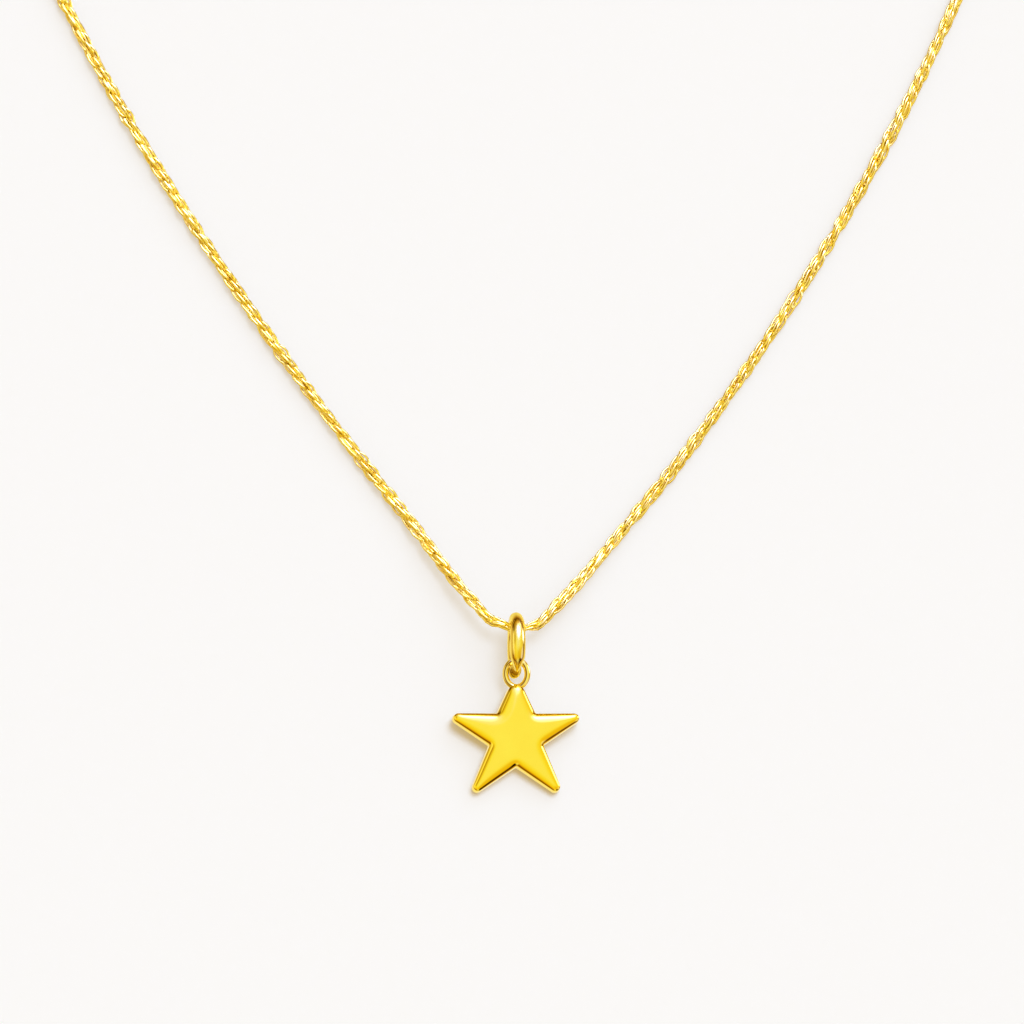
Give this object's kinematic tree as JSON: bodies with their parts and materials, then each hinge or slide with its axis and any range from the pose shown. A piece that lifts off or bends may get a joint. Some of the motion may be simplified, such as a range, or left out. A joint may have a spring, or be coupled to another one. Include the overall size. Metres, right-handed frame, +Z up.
{
  "type": "star pendant necklace",
  "caption": "Fine twisted gold-coloured chain, closed with a spring ring, carrying a small puffed star on a round bail ring; it lies flat on a surface.",
  "frame": {"origin": "on the surface that it lies on, below the middle of the whole necklace's box", "axes": "+X across, +Y from the pendant to the clasp, +Z up from the surface"},
  "size_m": [0.1014, 0.183, 0.0053],
  "materials": {
    "polished_gold": "polished gold plate",
    "chain_gold": "bright gold plate on fine links"
  },
  "bodies": {
    "root": {"star_pendant": "polished_gold", "bail_ring": "polished_gold", "chain": "chain_gold", "clasp": "polished_gold", "end_ring": "polished_gold"}
  },
  "joints": []
}
